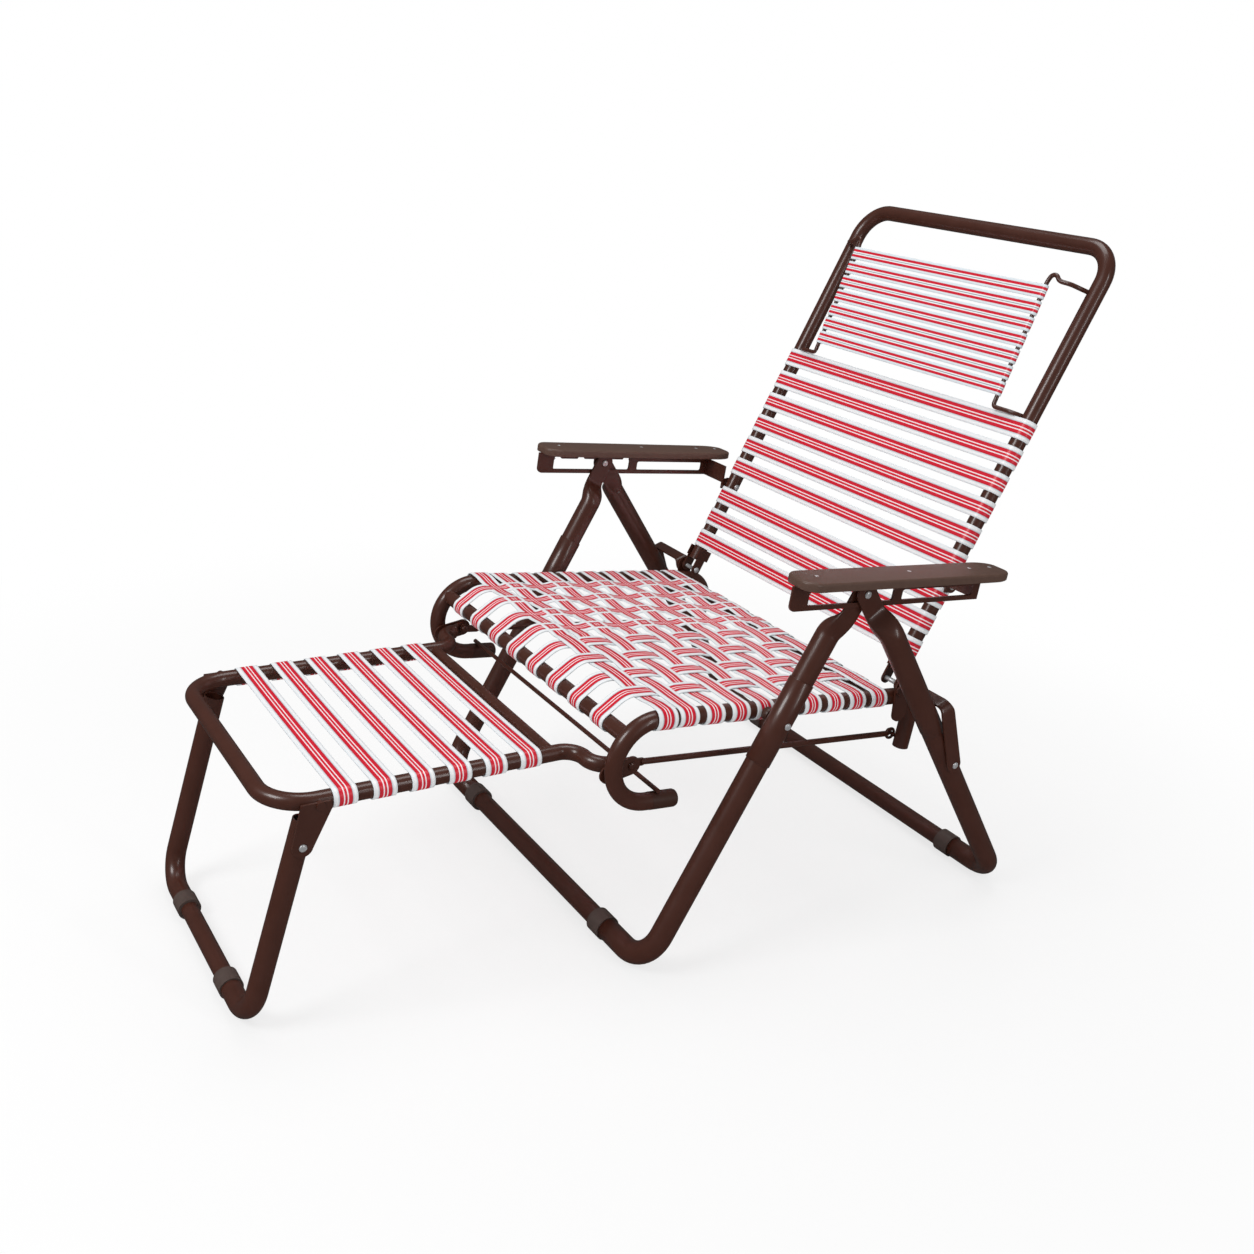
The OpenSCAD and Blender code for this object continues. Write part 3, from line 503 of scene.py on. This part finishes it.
SCREW = np.array([[3.0, 10.4], [3.0, 11.75], [2.6, 12.02], [1.8, 12.22], [0.9, 12.3], [0.15, 12.32]])
SCREW_AT = (-84.0, 68.0, 176.0, 214.0)
for side, s in (("left", 1), ("right", -1)):
    shells = []
    for u in SCREW_AT:
        a = np.linspace(0, 2 * np.pi, 20, endpoint=False)
        r, h = SCREW[:, :1], SCREW[:, 1:]
        rings = np.stack(np.broadcast_arrays(r * np.cos(a), r * np.sin(a), h), -1)
        place = TOP_PIN + ACROSS * PAD_X * s + ARM_ALONG * u + ARM_UP * PAD_RISE
        shells.append(place + ACROSS * rings[..., :1] + ARM_ALONG * rings[..., 1:2] + ARM_UP * rings[..., 2:])
    solid("pad_screws_" + side, shells, zinc, "arm_" + side)

# Rivets: the pivots are zinc-plated steel rivets with small pan heads, set through the pieces that they
# join. The two at the front curls are painted with the frame.


def rivet(centre, x0, x1, shank, head, rise, ends=(1, 1)):
    """A rivet across the chair from x0 to x1 at a side-view centre, with a pan head beyond each end that
    ends asks for: radius head cos^0.8 of the turn and height rise sin^0.8, as one closed turned shape."""
    a = np.radians(np.linspace(0, 84, 8))
    r, h = head * np.cos(a) ** 0.8, rise * np.sin(a) ** 0.8
    low = [np.stack([x0 - h[::-1], r[::-1]], 1)] if ends[0] else []
    high = [np.stack([x1 + h, r], 1)] if ends[1] else []
    line = np.concatenate([*low, [[x0, shank], [x1, shank]], *high])
    a = np.linspace(0, 2 * np.pi, 28, endpoint=False)
    y = centre[1] + line[:, 1:] * np.cos(a)
    z = centre[2] + line[:, 1:] * np.sin(a)
    return np.stack([np.broadcast_to(line[:, :1], y.shape), y, z], -1)


LEG_BOLT = (0, 60.45, 326.77)
LINK_BOLT = (0, 326.87, 238.81)
ARM_STUD = (0, 358.41, 456.25)
CURL_RIVET = (0, -119.5, 279.0)
FOOT_BOLT = (0, -507.0, 237.0)
SHANK, HEAD, HEAD_H = 3.2, 4.6, 2.6
zinc_rivets = (
    ("top_rivet", "top_pins", "top_pin", rivet(TOP_PIN, 294.7, 307.3, SHANK, 4.9, HEAD_H)),
    ("leg_rivet", "front_legs", "leg_bolt", rivet(LEG_BOLT, 231.6, 297.25, SHANK, HEAD, HEAD_H)),
    ("link_rivet", "links", "link_bolt", rivet(LINK_BOLT, 337.3, 341.5, SHANK, HEAD, HEAD_H, (0, 1))),
    ("back_rivet", "back_bolts", "back_bolt", rivet(PIVOT, 222.1, 260.8, SHANK, HEAD, HEAD_H)),
    ("stud_rivet", "back", "arm_stud", rivet(ARM_STUD, 224.8, 248.4, SHANK, HEAD, HEAD_H, (1, 0))),
    ("arm_rivet", "arm", "arm_bolt", rivet(ARM_STUD, 248.8, 251.8, SHANK, HEAD, HEAD_H, (0, 1))))
for name, body, stands, shell in zinc_rivets:
    for side, s in (("left", 1), ("right", -1)):
        rides = body + "_" + side if body == "arm" else body
        made = solid(name + "_" + side, [shell * [s, 1, 1]], zinc, rides)
        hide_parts(stands + "_" + side)
shell = rivet(FOOT_BOLT, 153.5, 182.4, SHANK, HEAD, HEAD_H)
made = solid("footrest_leg_rivets", [shell * [s, 1, 1] for s in (1, -1)], zinc, "prop")
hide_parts("prop_bolts")
shell = rivet(CURL_RIVET, 221.8, 232.4, 3.0, 5.2, 2.8)
made = solid("curl_rivets", [shell * [s, 1, 1] for s in (1, -1)], brown, "footrest")
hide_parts("footrest_rivets")

# Bushings: a short tube of the curl caps' plastic on each leg rivet, which keeps the seat rail clear of the
# front leg, and one on each back rivet between the channel and the ear. Both have small chamfers.

CHAMFER = 0.5
for name, centre, x0, x1, r, body in (("leg_bushing", LEG_BOLT, 254.4, 264.75, 8.5, "front_legs"),
                                      ("back_bushing", PIVOT, 249.9, 253.6, 7.0, "back_bolts")):
    a = np.linspace(0, 2 * np.pi, 28, endpoint=False)
    line = np.array([[x0, r - CHAMFER], [x0 + CHAMFER, r], [x1 - CHAMFER, r], [x1, r - CHAMFER]])
    y = centre[1] + line[:, 1:] * np.cos(a)
    z = centre[2] + line[:, 1:] * np.sin(a)
    ring = np.stack([np.broadcast_to(line[:, :1], y.shape), y, z], -1)
    solid(name + "s", [ring * [s, 1, 1] for s in (1, -1)], cap_plastic, body)

# Legs: painted 30 mm steel tube, bent at the floor and pressed flat at the top, where the rivet goes
# through. The front legs have a joint sleeve at the seat rivet; the rear legs' upper half is a slightly wider
# tube over the lower.

FRONT_FOOT = np.array([0, -104.0, 16.4])
REAR_FOOT = np.array([0, 484.0, 16.4])
FRONT_X, FRONT_FLAT, FRONT_JOINT = 281.0, 297.1, 181.0
REAR_X, REAR_FLAT, REAR_JOINT = 322.0, 304.9, 230.0
SLEEVE_LOW, SLEEVE_HIGH, SLEEVE_R = 294.3, 408.3, 16.25
REAR_STEP = 338.0
STEP_H = 0.7
LEG_R = 15.0
BEND = 45.0
TOP_R = 14.6
PRESSED = 2.0


def smooth(value, low, high):
    """An even S-curve from 0 at low to 1 at high: 3t^2 - 2t^3."""
    t = np.clip((value - low) / (high - low), 0, 1)
    return t * t * (3 - 2 * t)


def ribbon(flat, foot, along, wide, thick, power, count=36):
    """A bar along a line in the plane of across and along. Its section is a superellipse that reaches wide
    square to that plane and thick in it: each coordinate is the cosine or sine to the power 2 / power."""
    d = np.gradient(flat, axis=0)
    d /= np.linalg.norm(d, axis=1)[:, None]
    out = ACROSS * d[:, 1:] - along * d[:, :1]
    square = np.cross(ACROSS, along)
    a = np.linspace(0, 2 * np.pi, count, endpoint=False)[None, :]
    e = 2 / power[:, None]
    u = wide[:, None] * np.sign(np.cos(a)) * np.abs(np.cos(a)) ** e
    v = thick[:, None] * np.sign(np.sin(a)) * np.abs(np.sin(a)) ** e
    centre = foot + ACROSS * flat[:, :1] + along * flat[:, 1:]
    return centre[:, None] + square * u[..., None] + out[:, None] * v[..., None]


def leg(foot, half, flat_x, start, step):
    """A leg from its floor joint at start mm across, round its bend, up to the flat end about the top rivet.
    Towards the end the tube narrows in thickness by an S-curve and swells a little in width, then it ends in
    a half circle about the rivet. step is where a wider upper tube begins, or 0."""
    up = TOP_PIN - foot
    length = np.linalg.norm(up)
    up /= length
    low = np.array([[start, 0], [half - BEND - 1, 0]])
    turn = arc(np.array([half - BEND, BEND]), BEND, -90, 0, 14)
    rise = np.linspace(BEND + 1, length - 92, 12)
    rise = np.sort(np.concatenate([rise, [step - 0.6, step + 0.6]])) if step else rise
    cap = length + TOP_R * np.sin(np.radians(np.linspace(6, 88, 12)))
    end = np.concatenate([np.linspace(length - 90, length, 34), cap])
    s = np.concatenate([np.zeros(2), turn[:, 1], rise, end])
    press = smooth(s, length - 66, length - 30)
    x = np.concatenate([low[:, 0], turn[:, 0], np.full(len(rise) + len(end), half)])
    x = x + (flat_x - half) * press
    base = LEG_R + (STEP_H * (s > step) if step else 0)
    wide = base + 1.2 * np.sin(np.pi * press) + (TOP_R - base) * press
    past = np.clip((s - length) / TOP_R, 0, 1)
    wide = wide * np.sqrt(1 - past ** 2)
    thick = base * (1 - press) + PRESSED * press
    return ribbon(np.column_stack([x, s]), foot, up, wide, thick, 2 + 3 * press), up


def sleeve(foot, up, half, low, high, radius):
    """A round sleeve over a leg from low to high mm along it, with chamfered ends."""
    s = np.array([low, low + CHAMFER, high - CHAMFER, high])
    r = np.array([radius - CHAMFER, radius, radius, radius - CHAMFER])
    return ribbon(np.column_stack([np.full(4, half), s]), foot, up, r, r, np.full(4, 2.0))


for side, s in (("left", 1), ("right", -1)):
    shell, up = leg(FRONT_FOOT, FRONT_X, FRONT_FLAT, FRONT_JOINT, 0)
    over = sleeve(FRONT_FOOT, up, FRONT_X, SLEEVE_LOW, SLEEVE_HIGH, SLEEVE_R)
    shells = [shell * [s, 1, 1], over * [s, 1, 1]]
    made = solid("front_leg_tube_" + side, shells, brown, "front_legs")
    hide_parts("front_leg_" + side)
    shell, up = leg(REAR_FOOT, REAR_X, REAR_FLAT, REAR_JOINT, REAR_STEP)
    made = solid("rear_leg_tube_" + side, [shell * [s, 1, 1]], brown, "rear_legs")
    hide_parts("rear_leg_" + side)

# Links: painted flat steel bar 22 mm wide, bent over twice at the top so that it reaches inwards past the
# rear leg to the back rivet, with round ends about both rivets.

LINK_FOOT = np.array(LINK_BOLT)
link_up = PIVOT - LINK_FOOT
LINK_L = np.linalg.norm(link_up)
link_up /= LINK_L
LINK_X, TAB_X = 339.6, 258.9
LINK_R, TAB_R = 11, 13.5
OVER = 9.5
for side, s in (("left", 1), ("right", -1)):
    line = bent([(LINK_X, -LINK_R), (LINK_X, 30), (LINK_X, LINK_L + OVER), (TAB_X, LINK_L + OVER),
                 (TAB_X, LINK_L - TAB_R)], 13.0)
    fine = np.concatenate([[0], np.cumsum(np.linalg.norm(np.diff(line, axis=0), axis=1))])
    last = fine[-1]
    t = np.unique(np.concatenate([LINK_R - LINK_R * np.cos(np.radians(np.linspace(4, 90, 9))),
                                  np.linspace(LINK_R, last - TAB_R, 60),
                                  last - TAB_R + TAB_R * np.sin(np.radians(np.linspace(0, 86, 9)))]))
    line = np.column_stack([np.interp(t, fine, line[:, 0]), np.interp(t, fine, line[:, 1])])
    wide = LINK_R - 2.5 * smooth(t, 96, 112) + 5 * smooth(t, last - 30, last - TAB_R)
    wide *= np.sqrt(np.clip(1 - (1 - t / LINK_R).clip(0, 1) ** 2, 0, 1))
    wide *= np.sqrt(np.clip(1 - ((t - last + TAB_R) / TAB_R).clip(0, 1) ** 2, 0, 1))
    shell = ribbon(line, LINK_FOOT, link_up, wide, np.full(len(t), 1.9), np.full(len(t), 6.0), 32)
    made = solid("link_bar_" + side, [shell * [s, 1, 1]], brown, "links")
    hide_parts("link_" + side)

# Floor and backdrop: one wide pale sheet of paper that the chair stands on, with a plain white room behind.
# Near the chair the camera sees the paper's own shade mixed in, so it keeps the shadow; further off it is
# white. Reflections see a darker room and floor than the camera does.

floor_mesh = bpy.data.meshes.new("floor")
floor_mesh.from_pydata([(-30, -30, 0), (30, -30, 0), (30, 30, 0), (-30, 30, 0)], [], [(0, 1, 2, 3)])
floor = bpy.data.objects.new("floor", floor_mesh)
bpy.context.scene.collection.objects.link(floor)
paper, tree, shader = finish("white_paper")
shader.inputs["Base Color"].default_value = srgb("#f4f4f4")
shader.inputs["Roughness"].default_value = 0.9
shader.inputs["Specular IOR Level"].default_value = 0.1
seen = add(tree, "LightPath")
glow = add(tree, "Emission", inputs={"Color": (1, 1, 1, 1), "Strength": 1.0})
place = add(tree, "VectorMath", {"operation": "LENGTH"}, {0: add(tree, "TexCoord").outputs["Object"]})
far = add(tree, "MapRange", {"interpolation_type": "SMOOTHSTEP"}, {
    "Value": place.outputs["Value"], "From Min": 0.6, "From Max": 1.5, "To Min": 0.74, "To Max": 1.0})
share = add(tree, "Math", {"operation": "MULTIPLY"}, {0: seen.outputs["Is Camera Ray"], 1: far.outputs[0]})
lit = add(tree, "MixShader", inputs={0: share.outputs[0], 1: shader.outputs[0], 2: glow.outputs[0]})
dark = add(tree, "Emission", inputs={"Color": (1, 1, 1, 1), "Strength": 0.06})
both = add(tree, "MixShader", inputs={0: seen.outputs["Is Glossy Ray"], 1: lit.outputs[0],
                                      2: dark.outputs[0]})
tree.links.new(both.outputs[0], tree.nodes["Material Output"].inputs["Surface"])
floor_mesh.materials.append(paper)

world = bpy.data.worlds.new("white_room")
world.use_nodes = True
bpy.context.scene.world = world
tree = world.node_tree
tree.nodes.clear()
seen = add(tree, "LightPath")
room = add(tree, "MapRange", inputs={"Value": seen.outputs["Is Glossy Ray"], "To Min": 0.52, "To Max": 0.09})
white = add(tree, "Math", {"operation": "MAXIMUM"}, {0: seen.outputs["Is Camera Ray"], 1: room.outputs[0]})
sky = add(tree, "Background", inputs={"Color": (1, 1, 1, 1), "Strength": white.outputs[0]})
add(tree, "OutputWorld", inputs={"Surface": sky.outputs[0]})

# Lamps: three softboxes, a square one in front of the chair, a tall narrow one off its left side and a wide
# one overhead.


def softbox(name, place, aim, wide, high, power):
    """A studio softbox at place, turned to aim, wide by high metres."""
    lamp = bpy.data.lights.new(name, "AREA")
    lamp.shape = "RECTANGLE"
    lamp.size = wide
    lamp.size_y = high
    lamp.energy = power
    made = bpy.data.objects.new(name, lamp)
    bpy.context.scene.collection.objects.link(made)
    made.location = place
    made.rotation_euler = (Vector(aim) - Vector(place)).to_track_quat("-Z", "Y").to_euler()


softbox("key", (0.1, -2.3, 2.3), (0, 0.0, 0.4), 1.1, 1.1, 36)
softbox("fill", (2.6, 0.8, 1.5), (0, 0.1, 0.4), 0.25, 1.6, 10)
softbox("top", (-0.5, 0.4, 3.1), (0, 0.1, 0.4), 1.7, 1.2, 23)

# Camera: a 37 mm lens over a 36 mm wide frame, about 1 m above the floor off the chair's front left corner,
# looking down and rolled a little.

turn, lift, roll = math.radians(55.3), math.radians(21.9), math.radians(5.5)
ahead = Vector((-math.sin(turn) * math.cos(lift), math.cos(turn) * math.cos(lift), -math.sin(lift)))
right = Vector((math.cos(turn), math.sin(turn), 0))
above = right.cross(ahead)
x_axis = right * math.cos(roll) + above * math.sin(roll)
y_axis = above * math.cos(roll) - right * math.sin(roll)
lens = bpy.data.cameras.new("camera")
lens.sensor_width = 36
lens.lens = 1283.5 / 1254 * 36
camera = bpy.data.objects.new("camera", lens)
bpy.context.scene.collection.objects.link(camera)
camera.matrix_world = Matrix((
    (x_axis.x, y_axis.x, -ahead.x, 1.3410), (x_axis.y, y_axis.y, -ahead.y, -0.9137),
    (x_axis.z, y_axis.z, -ahead.z, 1.0053), (0, 0, 0, 1)))
bpy.context.scene.camera = camera
bpy.context.scene.view_settings.view_transform = "Standard"
